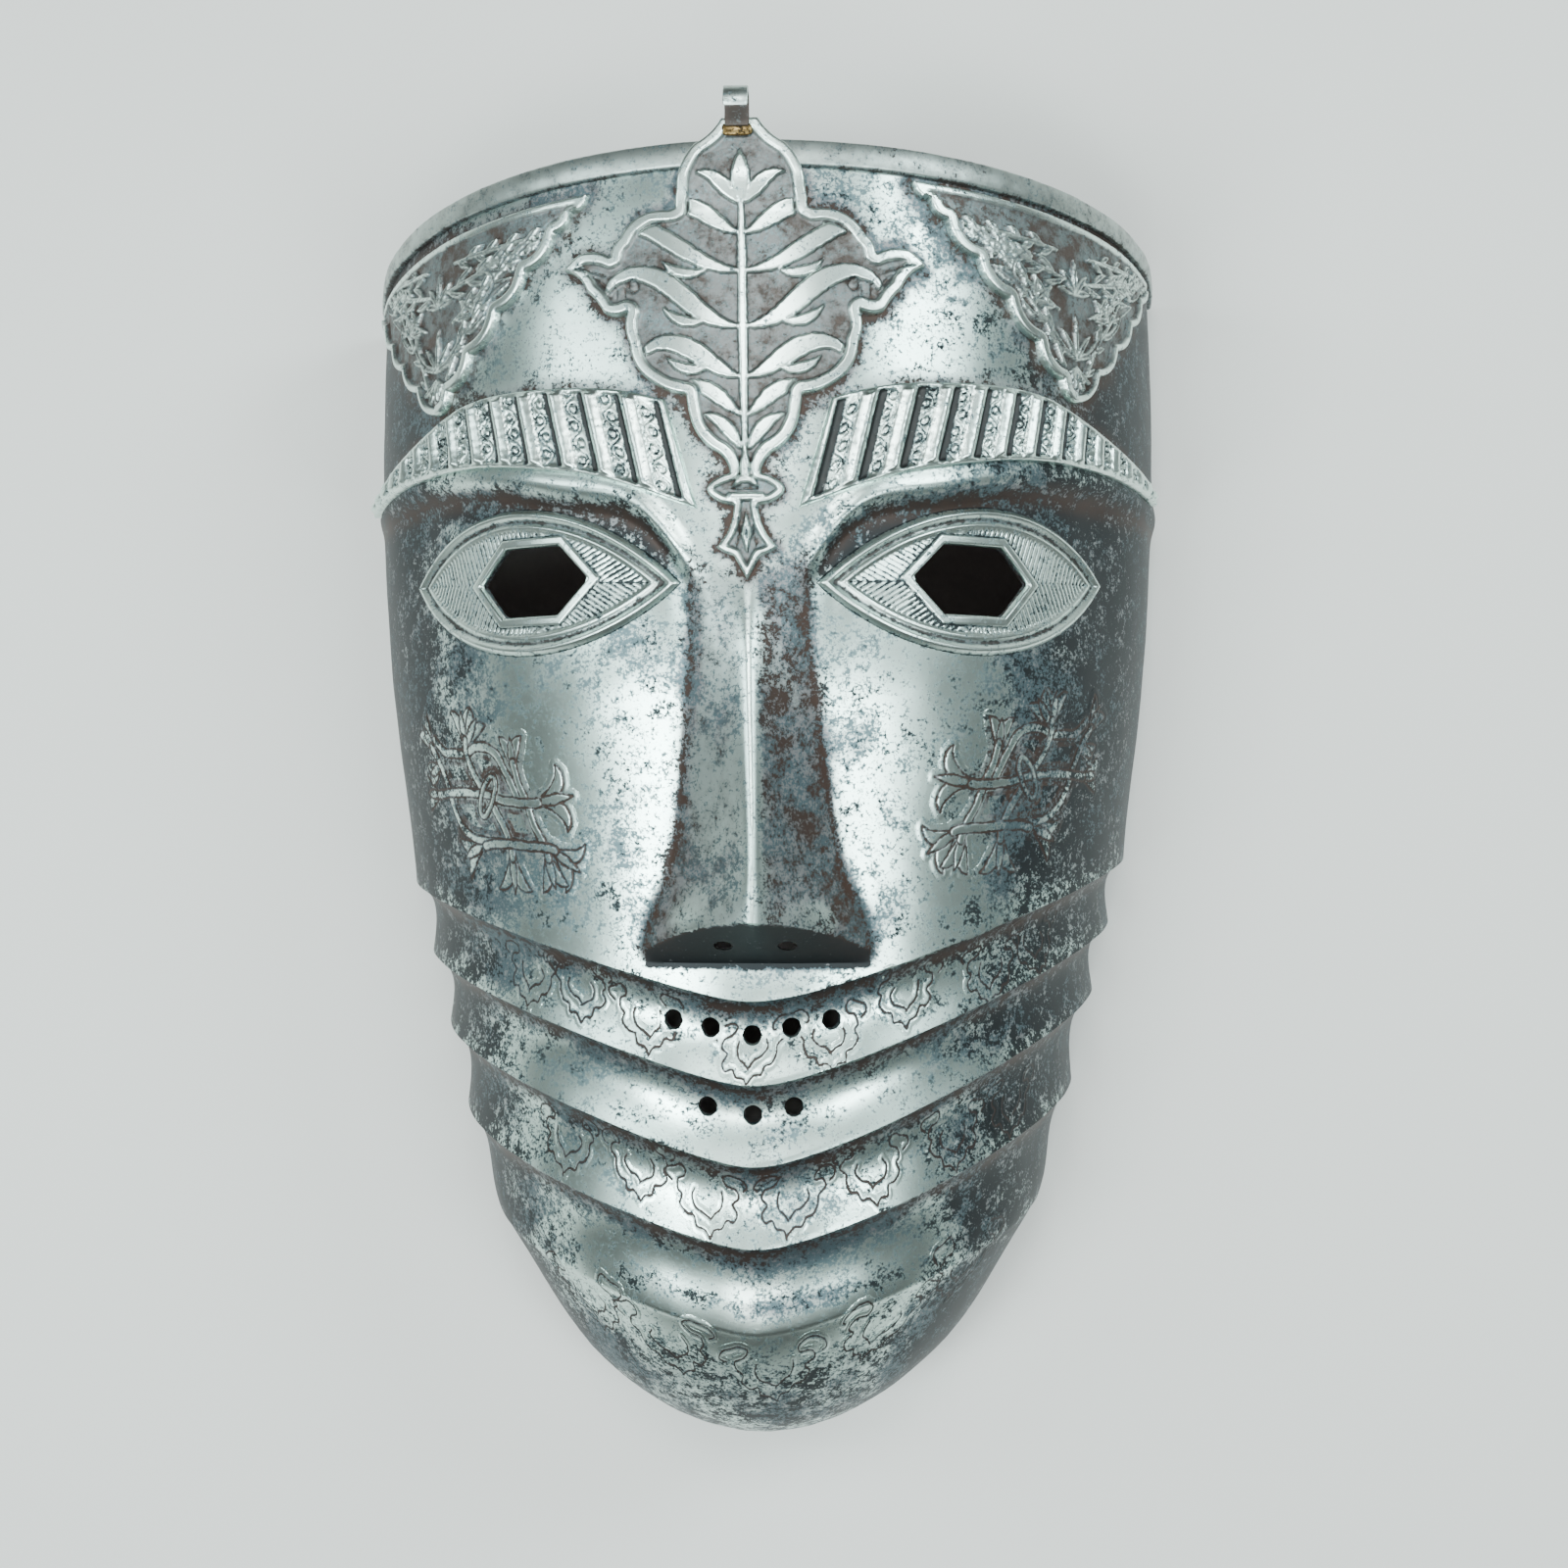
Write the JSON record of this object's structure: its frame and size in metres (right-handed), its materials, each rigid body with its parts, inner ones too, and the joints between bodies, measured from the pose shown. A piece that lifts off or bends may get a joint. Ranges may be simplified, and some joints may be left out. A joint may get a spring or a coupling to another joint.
{
  "type": "armour face mask",
  "caption": "Iron face mask with a long nose, hexagonal eye holes, stepped pleats over the jaw, raised brow and forehead plates and a small hook on top.",
  "frame": {"origin": "centre of the bounding box, on the plane of the back rim", "axes": "+Z out of the face, +Y to the top of the head, +X to the right of someone who looks at the face"},
  "size_m": [0.1708, 0.2633, 0.0997],
  "materials": {
    "sheet_iron": "hammered and burnished, with dark speckled patina",
    "burnished_iron": "burnished relief over a brown-grey ground"
  },
  "bodies": {
    "root": {"mask_shell": "sheet_iron", "rim_band": "burnished_iron", "forehead_cartouche": "burnished_iron", "hanging_hook": "sheet_iron", "temple_plate_left": "burnished_iron", "temple_plate_right": "burnished_iron", "brow_strip_left": "burnished_iron", "brow_strip_right": "burnished_iron"}
  },
  "joints": []
}
